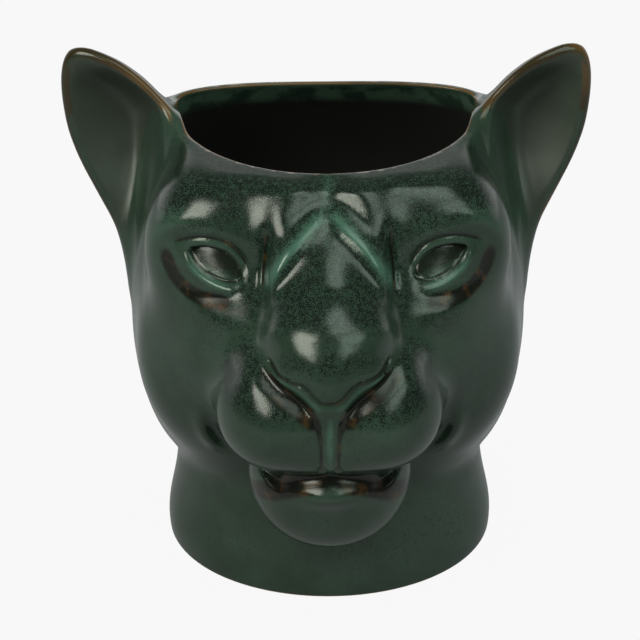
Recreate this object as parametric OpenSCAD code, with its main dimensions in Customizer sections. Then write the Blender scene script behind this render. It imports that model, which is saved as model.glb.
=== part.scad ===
// Animal head planter: a big cat's head cast in stoneware, open at the crown.
// The face looks towards minus Y and the foot stands on Z zero. Millimetres.
// The head is solved from a few blended masses (skull, cheeks, muzzle, chin),
// so that the wall, the ears and the floor all follow the same shape.

/* [Overall] */
// Height of the lip over the table
lip_h = 164.5; // [110:0.5:260]
// Width of the head over the cheeks
head_w = 147; // [95:1:230]
// Depth of the skull from forehead to nape
head_d = 128; // [85:1:200]
// Reach of the nose in front of the middle of the foot
nose_reach = 110; // [75:1:170]
// Width over both ears
ear_span = 195; // [135:1:310]
// Height of the ear tips over the table
ear_tip_h = 190; // [130:0.5:300]

/* [Wall and foot] */
// Thickness of the cast wall
wall = 4.8; // [3:0.1:8]
// Widest diameter of the foot
foot_d = 124.4; // [85:0.2:200]
// Diameter of the neck above the foot
neck_d = 115; // [80:0.5:190]
// Height of the widest part of the foot
foot_wide_h = 6; // [3:0.5:20]
// Height over which the foot flares into the neck
flare_h = 18; // [8:1:40]
// Rounding of the foot's outer edge
foot_edge = 1; // [0.5:0.1:4]

/* [Floor] */
// Height of the ledge that carries the floor slab
floor_h = 4; // [2:0.5:12]
// Thickness of the floor slab
floor_t = 6; // [4:0.5:12]
// Width of the ledge under the slab
ledge_w = 4; // [2:0.5:10]
// Gap of slip around the slab
floor_gap = 0.25; // [0.1:0.05:0.6]

/* [Ears] */
// Thickness of the ear's wall
ear_wall = 5.4; // [4:0.2:9]
// Depth of the cup of the ear
ear_cup = 21; // [8:1:30]

/* [Drain and plug] */
// Diameter of the drain hole
drain_d = 14; // [8:0.5:25]
// Play of the plug's stem in the hole, on the diameter
plug_play = 0.3; // [0.1:0.05:1]
// Diameter of the plug's flange
flange_d = 26; // [16:0.5:40]
// Thickness of the plug's flange
flange_t = 2.5; // [1.5:0.1:5]
// Diameter of the plug's grip
grip_d = 9; // [5:0.5:15]
// Height of the plug's grip over the flange
grip_h = 8; // [4:0.5:16]
// Height of the stem's end over the slab's underside
stem_up = 0.6; // [0.2:0.1:2]

/* [Hidden] */
$fn = 72;
half_w = head_w / 2;
half_d = head_d / 2;
foot_r = foot_d / 2;
neck_r = neck_d / 2;
slab_r = neck_r - wall;
floor_top = floor_h + floor_t;
lip_r = wall / 2;
// The widest line of the skull and the nose stand equally far from the origin
nape_station = 5;

// Rings and columns of the head's mesh
front_cols = 22;
side_cols = 14;
cols_half = front_cols + side_cols;
cols = 2 * cols_half;
front_turn = 60;
half_turn = 180;
foot_rings = 5;
face_rings = 46;
crown_rings = 5;
inner_rings = 18;
lip_steps = 4;
face_low_share = 0.17;
face_high_share = 0.915;
block_share = 0.55;

// Skull stations: height, half width, front, back and place of the widest line, as shares
skull_shares = [
  [0.085, 0.556, 0.625, 0.688, 0.00],
  [0.207, 0.736, 0.781, 0.859, 0.00],
  [0.280, 0.875, 0.859, 0.938, 0.00],
  [0.365, 0.951, 0.906, 0.984, 0.00],
  [0.462, 0.990, 0.938, 1.031, 0.00],
  [0.559, 1.000, 0.953, 1.047, 0.02],
  [0.669, 0.986, 0.969, 1.031, 0.06],
  [0.790, 0.944, 0.977, 0.969, 0.14],
  [0.912, 0.875, 0.922, 0.813, 0.23],
  [1.009, 0.799, 0.797, 0.625, 0.30],
  [1.106, 0.653, 0.594, 0.391, 0.31]
];
front_power = 2.05;
back_power = 2.5;
stand_y = (nose_reach - half_d * skull_shares[nape_station][3]) / 2;
// The lip dips towards the face
lip_lean_share = 0.045;
lean_power = 8;

// Masses: centre, radii, turn about Z, blend. Shares of half width, half depth and lip height
cheek_shares = [[0.514, -0.578, 0.535], [0.403, 0.422, 0.219], 0, 0.222];
mask_shares = [[0.361, -0.875, 0.644], [0.333, 0.375, 0.158], 0, 0.222];
brow_shares = [[0.470, -0.650, 0.895], [0.300, 0.300, 0.095], -32, 0.260];
orbit_shares = [[0.520, -0.600, 0.800], [0.350, 0.350, 0.150], -35, 0.220];
// Masses of the muzzle take their reach from the nose
pad_shares = [[0.226, -0.722, 0.541], [0.312, 0.276, 0.134], 0, 0.097];
lip_shares = [[0, -0.757, 0.505], [0.250, 0.221, 0.100], 0, 0.120];
chin_shares = [[0, -0.618, 0.316], [0.375, 0.255, 0.134], 0, 0.045];
lower_lip_shares = [[0, -0.655, 0.385], [0.360, 0.238, 0.090], 0, 0.160];
mouth_shares = [[0, -0.600, 0.400], [0.350, 0.255, 0.070], 0, 0.050];
nose_shares = [[0, -0.873, 0.672], [0.215, 0.115, 0.058], 0, 0.056];
wing_shares = [[0.158, -0.864, 0.663], [0.092, 0.082, 0.041], 0, 0.070];
tip_shares = [[0, -0.922, 0.626], [0.118, 0.073, 0.055], 0, 0.083];
muzzle_window_shares = [[0, 0, 0.57], [0, 0, 0.20], 0, 0.07];
// Bars from the brow to the nose: both ends, both radii, flattening and blend
bed_shares = [[0, -0.482, 0.900], [0, -0.800, 0.711], [0.150, 0.188], 0.74, 0.270];
bridge_shares = [[0, -0.528, 0.935], [0, -0.822, 0.728], [0.095, 0.168], 0.74, 0.130];
nose_top_shares = [[0, -0.800, 0.742], [0, -0.863, 0.655], [0.180, 0.180], 0.80, 0.060];
bar_window_shares = [[0, 0, 0.80], [0, 0, 0.20], 0, bed_shares[4]];
neck_blend_share = 0.07;
neck_top_share = 0.474;
pad_floor_share = 0.431;
pad_droop_share = 0.30;
pad_edge_share = 0.055;
// Top of the chin: height, arch and rounding
chin_top_shares = [0.404, 0.99, 0.05];
start_share = 0.40;
reach_share = 1.35;

// Eyes and lines of the face: place on X and Z, half sizes, height of the relief
eye_place_shares = [0.536, 0.818];
eye_size_shares = [0.165, 0.036];
eye_tilt = 16;
socket_size_shares = [0.245, 0.060];
socket_deep_share = 0.075;
eye_high_share = 0.060;
ridge_start_shares = [0, 0.940];
ridge_end_shares = [0.327, 0.805];
ridge_wide_share = 0.042;
ridge_high_share = 0.026;
furrow_place_shares = [0.313, 0.870];
furrow_size_shares = [0.040, 0.075];
furrow_deep_share = 0.026;
philtrum_place_share = 0.490;
philtrum_size_shares = [0.042, 0.080];
philtrum_deep_share = 0.036;
face_line_share = 0.19;
face_fade_share = 0.28;

// Smooth joining of two distances
function blend(a, b, k) = let (h = max(k - abs(a - b), 0) / k) min(a, b) - h * h * k / 4;
function trim_by(a, b, k) = -blend(-a, -b, k);

// Smooth curve through a column of the stations
function slope(t, i, c) =
  let (a = max(i - 1, 0), b = min(i + 1, len(t) - 1)) (t[b][c] - t[a][c]) / (t[b][0] - t[a][0]);
function seat(t, z, i = 0) = i >= len(t) - 2 || z < t[i + 1][0] ? i : seat(t, z, i + 1);
function curve(t, z, i, c) =
  let (h = t[i + 1][0] - t[i][0], u = min(max((z - t[i][0]) / h, 0), 1))
  (2 * u^3 - 3 * u^2 + 1) * t[i][c] + (u^3 - 2 * u^2 + u) * h * slope(t, i, c)
  + (3 * u^2 - 2 * u^3) * t[i + 1][c] + (u^3 - u^2) * h * slope(t, i + 1, c);
// Half width, front, back and widest line of the skull at one height
function skull_row(z) =
  let (s = z / lip_h, i = seat(skull_shares, s))
  [
    half_w * curve(skull_shares, s, i, 1),
    half_d * curve(skull_shares, s, i, 2),
    half_d * curve(skull_shares, s, i, 3),
    half_d * curve(skull_shares, s, i, 4)
  ];
function skull(x, y, row) =
  let (
    dy = y - row[3],
    depth = dy < 0 ? row[1] + row[3] : row[2] - row[3],
    n = dy < 0 ? front_power : back_power,
    q = pow(pow(x / row[0], n) + pow(abs(dy) / depth, n), 1 / n)
  ) norm([x, dy]) * (1 - 1 / q);

// Turned neck and foot
function neck_radius(z) = neck_r + (foot_r - neck_r) * exp(-pow((z - foot_wide_h) / flare_h, 2));
function neck(x, y, z, radius) =
  trim_by(norm([x, y]) - radius, z - lip_h * neck_top_share, half_w * neck_blend_share * 2);

// Distance to an egg shape given by a row of shares
function egg(x, y, z, s, reach) =
  let (
    dx = x - s[0][0] * half_w,
    dy = y - s[0][1] * reach,
    dz = z - s[0][2] * lip_h,
    px = dx * cos(s[2]) + dy * sin(s[2]),
    py = dy * cos(s[2]) - dx * sin(s[2]),
    r = [s[1][0] * half_w, s[1][1] * reach, s[1][2] * lip_h],
    k = norm([px / r[0], py / r[1], dz / r[2]]),
    g = norm([px / r[0]^2, py / r[1]^2, dz / r[2]^2])
  ) k * (k - 1) / g;
// A mass only counts in front of the middle and near its own height
function near(y, z, s) = y < 0 && abs(z - s[0][2] * lip_h) < s[1][2] * lip_h + s[3] * half_w;
function join(d, x, y, z, s, reach) =
  near(y, z, s) ? blend(d, egg(x, y, z, s, reach), s[3] * half_w) : d;
function bar(x, y, z, s) =
  let (
    a = [0, s[0][1] * nose_reach, s[0][2] * lip_h],
    b = [0, s[1][1] * nose_reach, s[1][2] * lip_h],
    p = [x * s[3], y, z],
    t = min(max((p - a) * (b - a) / ((b - a) * (b - a)), 0), 1)
  ) norm(p - a - (b - a) * t) - (s[2][0] + (s[2][1] - s[2][0]) * t) * half_w;
function lay(d, x, y, z, s) = blend(d, bar(x, y, z, s), s[4] * half_w);
function pads(x, y, z) =
  trim_by(
    blend(egg(x, y, z, pad_shares, nose_reach), egg(x, y, z, lip_shares, nose_reach), lip_shares[3] * half_w),
    pad_floor_share * lip_h - pad_droop_share * x - z,
    pad_edge_share * half_w
  );
// The chin is cut off on top in an arch, and the mouth is the hollow over it
function chin(x, y, z) =
  let (
    below = blend(
      egg(x, y, z, chin_shares, nose_reach),
      egg(x, y, z, lower_lip_shares, nose_reach),
      lower_lip_shares[3] * half_w),
    top = chin_top_shares[0] * lip_h - chin_top_shares[1] * x * x / half_w
  )
  blend(
    trim_by(below, z - top, chin_top_shares[2] * half_w),
    egg(x, y, z, mouth_shares, nose_reach),
    mouth_shares[3] * half_w
  );
function nose(x, y, z) =
  blend(
    blend(egg(x, y, z, nose_shares, nose_reach), egg(x, y, z, wing_shares, nose_reach), wing_shares[3] * half_w),
    egg(x, y, z, tip_shares, nose_reach),
    tip_shares[3] * half_w
  );

// Relief of the eyes, frown lines and lip groove, outwards
function hill(u, v) = exp(-u * u - v * v);
function relief(x, z) =
  let (
    du = x - eye_place_shares[0] * half_w,
    dv = z - eye_place_shares[1] * lip_h,
    u = du * cos(eye_tilt) + dv * sin(eye_tilt),
    v = dv * cos(eye_tilt) - du * sin(eye_tilt),
    ball = 1 - pow(u / (eye_size_shares[0] * half_w), 2) - pow(v / (eye_size_shares[1] * lip_h), 2),
    a = [ridge_start_shares[0] * half_w, ridge_start_shares[1] * lip_h],
    b = [ridge_end_shares[0] * half_w, ridge_end_shares[1] * lip_h],
    p = [x, z],
    t = min(max((p - a) * (b - a) / ((b - a) * (b - a)), 0), 1)
  )
  half_w * (
    eye_high_share * sqrt(max(ball, 0))
    - socket_deep_share * hill(u / (socket_size_shares[0] * half_w), v / (socket_size_shares[1] * lip_h))
    + ridge_high_share * hill(norm(p - a - (b - a) * t) / (ridge_wide_share * half_w), 0)
    - furrow_deep_share * hill(
        (x - furrow_place_shares[0] * half_w) / (furrow_size_shares[0] * half_w),
        (z - furrow_place_shares[1] * lip_h) / (furrow_size_shares[1] * lip_h))
    - philtrum_deep_share * hill(
        x / (philtrum_size_shares[0] * half_w),
        (z - philtrum_place_share * lip_h) / (philtrum_size_shares[1] * lip_h))
  );
function fade(y) = min(max((-y - face_line_share * half_d) / (face_fade_share * half_d), 0), 1);

// Outside of the cast wall, and its inside
function outside(x, y, z, row, nr) =
  let (
    d0 = blend(skull(x, y, row), neck(x, y, z, nr), neck_blend_share * half_w),
    d1 = join(d0, x, y, z, cheek_shares, half_d),
    d2 = join(d1, x, y, z, mask_shares, half_d),
    d3 = join(d2, x, y, z, brow_shares, half_d),
    d4 = join(d3, x, y, z, orbit_shares, half_d),
    d5 = near(y, z, bar_window_shares) ? lay(lay(d4, x, y, z, bed_shares), x, y, z, bridge_shares) : d4,
    d6 = near(y, z, muzzle_window_shares) ? blend(d5, pads(x, y, z), pad_shares[3] * half_w) : d5,
    d7 = near(y, z, chin_shares) ? blend(d6, chin(x, y, z), chin_shares[3] * half_w) : d6,
    d8 = near(y, z, muzzle_window_shares) ? blend(d7, nose(x, y, z), nose_shares[3] * half_w) : d7,
    d9 = near(y, z, muzzle_window_shares) ? lay(d8, x, y, z, nose_top_shares) : d8
  ) y > -face_line_share * half_d ? d9 : d9 - relief(x, z) * fade(y);
function inside(x, y, z, row) =
  let (
    d0 = min(skull(x, y, row), neck(x, y, z, neck_r)),
    d1 = y > 0 ? d0 : min(d0, egg(x, y, z, cheek_shares, half_d), bar(x, y, z, bed_shares)),
    d2 = y > 0 ? d1 : min(d1, pads(x, y, z), chin(x, y, z))
  ) d2 + wall;

// Radius at which a level ray leaves the wall, by the rule of false position
function leave(c, s, z, row, nr, out, lo, flo, hi, fhi, n, side = 0) =
  let (m = (lo * fhi - hi * flo) / (fhi - flo))
  n == 0 ? m
  : let (f = out ? outside(s * m, -c * m, z, row, nr) : inside(s * m, -c * m, z, row))
    f > 0 ? leave(c, s, z, row, nr, out, lo, side > 0 ? flo / 2 : flo, m, f, n - 1, 1)
    : leave(c, s, z, row, nr, out, m, f, hi, side < 0 ? fhi / 2 : fhi, n - 1, -1);
solve_steps = 8;
function radius_at(a, z, row, nr, out) =
  let (
    c = cos(a),
    s = sin(a),
    lo = start_share * half_w,
    hi = half_w + (nose_reach * reach_share - half_w) * max(c, 0),
    far = hi * 1.1,
    flo = out ? outside(s * lo, -c * lo, z, row, nr) : inside(s * lo, -c * lo, z, row),
    fhi = out ? outside(s * far, -c * far, z, row, nr) : inside(s * far, -c * far, z, row)
  ) leave(c, s, z, row, nr, out, lo, flo, far, fhi, solve_steps);

// Angle of a column, counted from the face round to the nape
function col_angle(i) =
  i <= front_cols ? front_turn * i / front_cols
  : front_turn + (half_turn - front_turn) * (i - front_cols) / side_cols;
// Half a ring of radii, at the columns from the face to the nape
function ring_radii(z, out) =
  let (row = skull_row(z), nr = neck_radius(z))
  [for (i = [0:cols_half]) radius_at(col_angle(i), z, row, nr, out)];
function lean(p) = [p[0], p[1], p[2] + lip_lean_share * p[1] * pow(p[2] / lip_h, lean_power)];
// Whole ring of points from its half, by mirroring
function ring_points(radii, z) = [
  for (i = [0:cols - 1])
    let (j = i <= cols_half ? i : cols - i, a = col_angle(j), side = i <= cols_half ? 1 : -1)
    lean([side * radii[j] * sin(a), -radii[j] * cos(a), z])
];

function stretch(a, b, n) = [for (i = [0:n - 1]) a + (b - a) * i / n];
lip_z = lip_h - lip_r;
outer_levels = concat(
  stretch(foot_edge, face_low_share * lip_h, foot_rings),
  stretch(face_low_share * lip_h, face_high_share * lip_h, face_rings),
  stretch(face_high_share * lip_h, lip_z, crown_rings),
  [lip_z]
);
inner_levels = concat([lip_z], [for (i = [1:inner_rings]) lip_z + (floor_top - lip_z) * i / inner_rings]);

function outer_rings(radii) = concat(
  [ring_points([for (r = radii[0]) r - foot_edge], 0)],
  [for (k = [0:len(outer_levels) - 1]) ring_points(radii[k], outer_levels[k])]
);
function lip_rings(outer, inner, from, to) = [
  for (k = [from:to])
    let (turn = half_turn * k / lip_steps)
    ring_points(
      [for (j = [0:cols_half]) (outer[j] + inner[j]) / 2 + (outer[j] - inner[j]) / 2 * cos(turn)],
      lip_z + lip_r * sin(turn)
    )
];
function round_ring(r, z) = ring_points([for (j = [0:cols_half]) r], z);
// Faces between rings of points, each four-sided cell parted along its shorter diagonal
function skin(rings, from, to) = [
  for (k = [from:to - 1], i = [0:cols - 1])
    let (
      up = (k + 1) % len(rings),
      n = up * cols,
      m = k * cols,
      j = (i + 1) % cols,
      rising = norm(rings[k][i] - rings[up][j]),
      falling = norm(rings[k][j] - rings[up][i])
    )
    each abs(rising - falling) < 0.001 ? parted(m, n, i, j, i < cols_half) : parted(m, n, i, j, rising < falling)
];
function parted(m, n, i, j, rising) =
  rising
    ? [[m + i, n + j, m + j], [m + i, n + i, n + j]]
    : [[m + i, n + i, m + j], [m + j, n + i, n + j]];

// Wall of the head: up the outside, over the lip, down the inside and round the foot
module head_shell() {
  outer = [for (z = outer_levels) ring_radii(z, true)];
  inner = [for (z = inner_levels) [for (r = ring_radii(z, false)) max(r, start_share * half_w)]];
  last = len(inner_levels) - 1;
  rings = concat(
    outer_rings(outer),
    lip_rings(outer[len(outer) - 1], inner[0], 1, lip_steps - 1),
    [for (k = [0:last - 1]) ring_points(inner[k], inner_levels[k])],
    [round_ring(slab_r + floor_gap, floor_top), round_ring(slab_r + floor_gap, floor_h)],
    [round_ring(slab_r - ledge_w, floor_h), round_ring(slab_r - ledge_w, 0)]
  );
  color("SeaGreen")
  translate([0, stand_y, 0])
  polyhedron(points = [for (r = rings) each r], faces = skin(rings, 0, len(rings)), convexity = 10);
}

// The head filled in, which trims the ears to the wall
module head_block() {
  levels = [for (z = outer_levels) if (z > block_share * lip_h) z];
  outer = [for (z = levels) ring_radii(z, true)];
  inner = ring_radii(lip_z, false);
  rings = concat(
    [for (k = [0:len(levels) - 1]) ring_points(outer[k], levels[k])],
    lip_rings(outer[len(outer) - 1], inner, 1, lip_steps / 2)
  );
  n = len(rings);
  points = concat([for (r = rings) each r], [[0, 0, levels[0]], [0, 0, lip_h]]);
  caps = [
    for (i = [0:cols - 1])
      let (j = (i + 1) % cols)
      each [[i, j, n * cols], [(n - 1) * cols + j, (n - 1) * cols + i, n * cols + 1]]
  ];
  polyhedron(points = points, faces = concat(skin(rings, 0, n - 1), caps), convexity = 10);
}

// Ear: a cupped sheet. Rows of height, outer edge and inner ridge, as shares from the root to the reach
ear_root_x_share = 0.79;
ear_root_z_share = 0.632;
ear_root_y_share = 0.031;
ear_rows = [
  [-0.09, 0.29, 0.07],
  [0.05, 0.41, 0.01],
  [0.19, 0.53, -0.05],
  [0.32, 0.67, -0.08],
  [0.45, 0.81, -0.09],
  [0.56, 0.91, -0.09],
  [0.66, 0.96, -0.08],
  [0.75, 0.99, -0.04],
  [0.82, 1.00, 0.06],
  [0.88, 0.98, 0.20],
  [0.92, 0.965, 0.32],
  [0.955, 0.94, 0.45],
  [0.98, 0.90, 0.57],
  [1.00, 0.835, 0.70]
];
ear_turn_share = 0.28;
// The cup runs in from the outer edge and drops steeply off the ridge; it fades towards the root
edge_run_share = 0.49;
ridge_run_share = 0.15;
cup_fade_shares = [-0.05, 0.51];
front_inset_share = 0.55;
edge_steps = [0, 0.16, 0.5, 1];
across_steps = 7;
ear_x = ear_root_x_share * half_w;
ear_z = ear_root_z_share * lip_h;
ear_y = ear_root_y_share * half_d;
ear_wide = ear_span / 2 - ear_x;
ear_high = ear_tip_h - ear_z;
ear_ball = ear_wall / 2;
function ear_at(row, k) = [ear_x + ear_wide * row[k], ear_z + ear_high * row[0]];
outer_line = [for (row = ear_rows) ear_at(row, 1)];
ridge_line = [for (row = ear_rows) ear_at(row, 2)];
function off_line(p, line) = min([
  for (i = [0:len(line) - 2])
    let (a = line[i], e = line[i + 1] - a, t = min(max((p - a) * e / (e * e), 0), 1)) norm(p - a - e * t)
]);
function rise(t) = let (u = min(max(t, 0), 1)) u * u * (3 - 2 * u);
function run(t) = sin(quarter_turn * min(max(t, 0), 1));
quarter_turn = 90;
ear_middle_share = 0.46;
function cup(p, inset) =
  let (
    high = (p[1] - ear_z) / ear_high,
    across = run((off_line(p, outer_line) - inset) / (edge_run_share * head_w / 2)),
    steep = run((off_line(p, ridge_line) - inset) / (ridge_run_share * head_w / 2))
  ) ear_cup * across * steep * rise((high - cup_fade_shares[0]) / (cup_fade_shares[1] - cup_fade_shares[0]));
function lean_of_ear(x) = ear_y + ear_turn_share * (x - ear_x - ear_wide * ear_middle_share);
// Half the thickness near the edge follows a round of the wall's half thickness
function round_off(p) =
  let (d = min(off_line(p, outer_line), off_line(p, ridge_line)), u = 1 - min(d / ear_ball, 1))
  ear_ball * max(sqrt(1 - u * u), edge_steps[1]);
function row_xs(k) =
  let (a = outer_line[k][0], b = ridge_line[k][0], e = min(ear_ball, (a - b) / 3))
  concat(
    [for (t = edge_steps) a - e * t],
    [for (i = [1:across_steps - 1]) a - e + (b + e - a + e) * i / across_steps],
    [for (i = [len(edge_steps) - 1:-1:0]) b + e * edge_steps[i]]
  );
function ear_front(p) =
  lean_of_ear(p[0]) + cup(p, ear_ball * front_inset_share * 2) + ear_ball - round_off(p);
function ear_back(p) = lean_of_ear(p[0]) + cup(p, 0) + ear_ball + round_off(p);
module ear_sheet() {
  n = len(edge_steps) * 2 + across_steps - 1;
  rows = len(ear_rows);
  points = [
    for (k = [0:rows - 1])
      let (xs = row_xs(k), z = outer_line[k][1])
      each concat(
        [for (x = xs) [x, ear_front([x, z]), z]],
        [for (i = [n - 1:-1:0]) [xs[i], ear_back([xs[i], z]), z]]
      )
  ];
  m = 2 * n;
  sides = [
    for (k = [0:rows - 2], i = [0:m - 1])
      let (j = (i + 1) % m)
      each i < n
        ? [[k * m + i, k * m + j, k * m + m + j], [k * m + i, k * m + m + j, k * m + m + i]]
        : [[k * m + i, k * m + j, k * m + m + i], [k * m + j, k * m + m + j, k * m + m + i]]
  ];
  function cap(k, turned) = [
    for (i = [0:n - 2])
      let (a = k * m + i, b = a + 1, c = k * m + m - 2 - i, d = c + 1)
      each turned ? [[a, b, c], [a, c, d]] : [[a, c, b], [a, d, c]]
  ];
  polyhedron(points = points, faces = concat(sides, cap(0, false), cap(rows - 1, true)), convexity = 8);
}
module left_ear() {
  color("DarkSeaGreen")
  translate([0, stand_y, 0])
  difference() {
    mirror([1, 0, 0])
    ear_sheet();
    head_block();
  }
}
module right_ear() {
  color("DarkSeaGreen")
  translate([0, stand_y, 0])
  difference() {
    ear_sheet();
    head_block();
  }
}

// Floor disc with the drain hole, on the ledge of the foot
module floor_slab() {
  color("Peru")
  translate([0, stand_y, floor_h])
  difference() {
    cylinder(r = slab_r, h = floor_t);
    translate([0, 0, -floor_t])
    cylinder(d = drain_d, h = floor_t * 3);
  }
}

// Rubber plug, pushed in from inside
module drain_plug() {
  stem_d = drain_d - plug_play;
  color("DimGray")
  translate([0, stand_y, 0])
  union() {
    translate([0, 0, floor_h + stem_up])
    cylinder(d = stem_d, h = floor_t - stem_up);
    translate([0, 0, floor_top])
    cylinder(d = flange_d, h = flange_t);
    translate([0, 0, floor_top + flange_t])
    cylinder(d = grip_d, h = grip_h);
  }
}

head_shell();
left_ear();
right_ear();
floor_slab();
drain_plug();
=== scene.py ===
import math

import bmesh
import bpy
import numpy as np
from mathutils import Matrix, Vector


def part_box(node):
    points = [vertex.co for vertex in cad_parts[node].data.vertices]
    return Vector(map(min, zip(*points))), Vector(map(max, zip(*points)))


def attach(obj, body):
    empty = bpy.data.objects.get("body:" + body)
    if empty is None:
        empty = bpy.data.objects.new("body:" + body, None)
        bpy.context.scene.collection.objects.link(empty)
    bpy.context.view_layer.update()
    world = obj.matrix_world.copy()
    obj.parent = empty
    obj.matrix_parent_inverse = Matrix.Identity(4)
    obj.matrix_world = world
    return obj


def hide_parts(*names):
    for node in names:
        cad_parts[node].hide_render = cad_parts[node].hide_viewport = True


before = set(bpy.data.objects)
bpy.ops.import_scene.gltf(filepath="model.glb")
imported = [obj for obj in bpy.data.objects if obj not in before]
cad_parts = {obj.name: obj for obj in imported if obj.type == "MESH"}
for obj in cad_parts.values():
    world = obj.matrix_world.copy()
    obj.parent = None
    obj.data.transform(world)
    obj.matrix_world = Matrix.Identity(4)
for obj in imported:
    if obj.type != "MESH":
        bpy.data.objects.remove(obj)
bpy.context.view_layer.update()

MM = 0.001

# How far the solid head's box stands past the sizes that the head is worked from, in millimetres
SIDE_SPARE, NOSE_SPARE, LIP_SPARE = 0.02, 0.5, 2.15
# The nape stands this many half depths behind the middle of the foot
NAPE_SHARE = 1.0475

# Sizes taken from the frame. The face is worked in millimetres round the middle of the foot.
head_low, head_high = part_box("head_shell")
slab_low, slab_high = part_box("floor_slab")
plug_low, plug_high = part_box("drain_plug")
STAND = (slab_low[1] + slab_high[1]) / 2 / MM
HALF_W = (head_high[0] - head_low[0]) / 2 / MM - SIDE_SPARE
HALF_D = (head_high[1] / MM - STAND) / NAPE_SHARE
LIP_H = head_high[2] / MM - LIP_SPARE
NOSE = STAND - head_low[1] / MM - NOSE_SPARE
# Nominal thickness of the clay
WALL = 4.8
FLOOR_TOP = slab_high[2] / MM
NECK_R = (slab_high[0] - slab_low[0]) / 2 / MM + WALL
FOOT_R = NECK_R + 4.7
# The height at which the foot is widest, and the height over which its flare fades
FOOT_WIDE, FLARE = 6.0, 18.0
# The lip rises towards the back
LIP_LEAN = 0.045
# Side of the mesh's cells
GRID = 1.8


# Modelling tools: how two masses of clay are joined, cut and pressed

def blend(a, b, k):
    h = np.maximum(k - np.abs(a - b), 0) / k
    return np.minimum(a, b) - h * h * k / 4


def trim(a, b, k):
    return -blend(-a, -b, k)


def ramp(v, a, b):
    t = np.clip((v - a) / (b - a), 0, 1)
    return t * t * (3 - 2 * t)


def hill(*t):
    return np.exp(-sum(v * v for v in t))


def smooth_line(points, n=5):
    p = np.array(points, float)
    p = np.vstack([2 * p[0] - p[1], p, 2 * p[-1] - p[-2]])
    out = []
    for a, b, c, d in zip(p[:-3], p[1:-2], p[2:-1], p[3:]):
        for t in np.arange(n) / n:
            out.append(0.5 * (2 * b + (c - a) * t + (2 * a - 5 * b + 4 * c - d) * t * t
                              + (3 * b - a - 3 * c + d) * t ** 3))
    out.append(p[-2])
    return np.array(out)


def off_line(u, v, line):
    """Distance to a drawn line."""
    best = np.full(u.shape, 1e9)
    for a, b in zip(line[:-1], line[1:]):
        e = b - a
        t = np.clip(((u - a[0]) * e[0] + (v - a[1]) * e[1]) / (e @ e), 0, 1)
        best = np.minimum(best, (u - a[0] - e[0] * t) ** 2 + (v - a[1] - e[1] * t) ** 2)
    return np.sqrt(best)


def stroke(u, v, points, wide, high, soft=0.2):
    """A ridge (high above zero) or a groove, pressed with a rounded tool in a run of dabs, fading at its ends."""
    low, top = np.min(points, 0) - 3.2 * wide, np.max(points, 0) + 3.2 * wide
    h = np.zeros(u.shape)
    m = (u > low[0]) & (u < top[0]) & (v > low[1]) & (v < top[1])
    if m.any():
        line = smooth_line(points)
        run = np.concatenate([[0], np.cumsum(np.hypot(*(line[1:] - line[:-1]).T))])
        n = max(int(run[-1] / (0.7 * wide)), 4)
        at = (np.arange(n) + 0.5) / n
        dabs = np.stack([np.interp(at * run[-1], run, line[:, k]) for k in (0, 1)], -1)
        press = high * run[-1] / n / (wide * math.sqrt(math.pi)) * ramp(at, 0, soft) * ramp(1 - at, 0, soft)
        a, b, total = u[m] / wide, v[m] / wide, 0
        for (c, d), f in zip(dabs / wide, press):
            total = total + f * np.exp(-(a - c) ** 2 - (b - d) ** 2)
        h[m] = total
    return h


def pair(x, z, points, wide, high, soft=0.2):
    """The same stroke on both sides of the face."""
    return stroke(x, z, points, wide, high, soft) + stroke(-x, z, points, wide, high, soft)


# The head's big masses, in shares of half width, half depth and lip height.
# A row of SKULL holds height, half width, reach in front, reach behind and where the widest place lies.

SKULL = np.array([
    [0.085, 0.556, 0.625, 0.688, 0.00],
    [0.207, 0.736, 0.781, 0.859, 0.00],
    [0.280, 0.875, 0.859, 0.938, 0.00],
    [0.365, 0.951, 0.906, 0.984, 0.00],
    [0.462, 0.990, 0.938, 1.031, 0.00],
    [0.559, 1.000, 0.953, 1.047, 0.02],
    [0.669, 0.986, 0.969, 1.031, 0.06],
    [0.790, 0.944, 0.977, 0.969, 0.14],
    [0.912, 0.875, 0.922, 0.813, 0.23],
    [1.009, 0.799, 0.797, 0.625, 0.30],
    [1.106, 0.653, 0.594, 0.391, 0.31]])


def skull_curve(s, column):
    t, v = SKULL[:, 0], SKULL[:, column]
    i = np.clip(np.searchsorted(t, s, side="right") - 1, 0, len(t) - 2)
    m = np.gradient(v)
    m[1:-1] = (v[2:] - v[:-2]) / (t[2:] - t[:-2])
    m[0], m[-1] = (v[1] - v[0]) / (t[1] - t[0]), (v[-1] - v[-2]) / (t[-1] - t[-2])
    h = t[i + 1] - t[i]
    u = np.clip((s - t[i]) / h, 0, 1)
    return ((2 * u ** 3 - 3 * u ** 2 + 1) * v[i] + (u ** 3 - 2 * u * u + u) * h * m[i]
            + (3 * u * u - 2 * u ** 3) * v[i + 1] + (u ** 3 - u * u) * h * m[i + 1])


STATIONS = np.linspace(SKULL[0, 0], SKULL[-1, 0], 400)
ROWS = [skull_curve(STATIONS, 1) * HALF_W] + [skull_curve(STATIONS, c) * HALF_D for c in (2, 3, 4)]


def skull(x, y, z, grow=0.0):
    s = np.clip(z / LIP_H, STATIONS[0], STATIONS[-1])
    w, f, b, c = [np.interp(s, STATIONS, row) for row in ROWS]
    w, f, b = w + grow, f + grow, b + grow
    dy = y - c
    front = dy < 0
    depth = np.where(front, f + c, b - c)
    n = np.where(front, 2.05, 2.5)
    q = np.maximum(((np.abs(x) / w) ** n + (np.abs(dy) / depth) ** n) ** (1 / n), 0.05)
    d = np.sqrt(x * x + dy * dy) * (1 - 1 / q)
    return np.maximum(d, np.maximum(STATIONS[0] * LIP_H - z, z - STATIONS[-1] * LIP_H))


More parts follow.
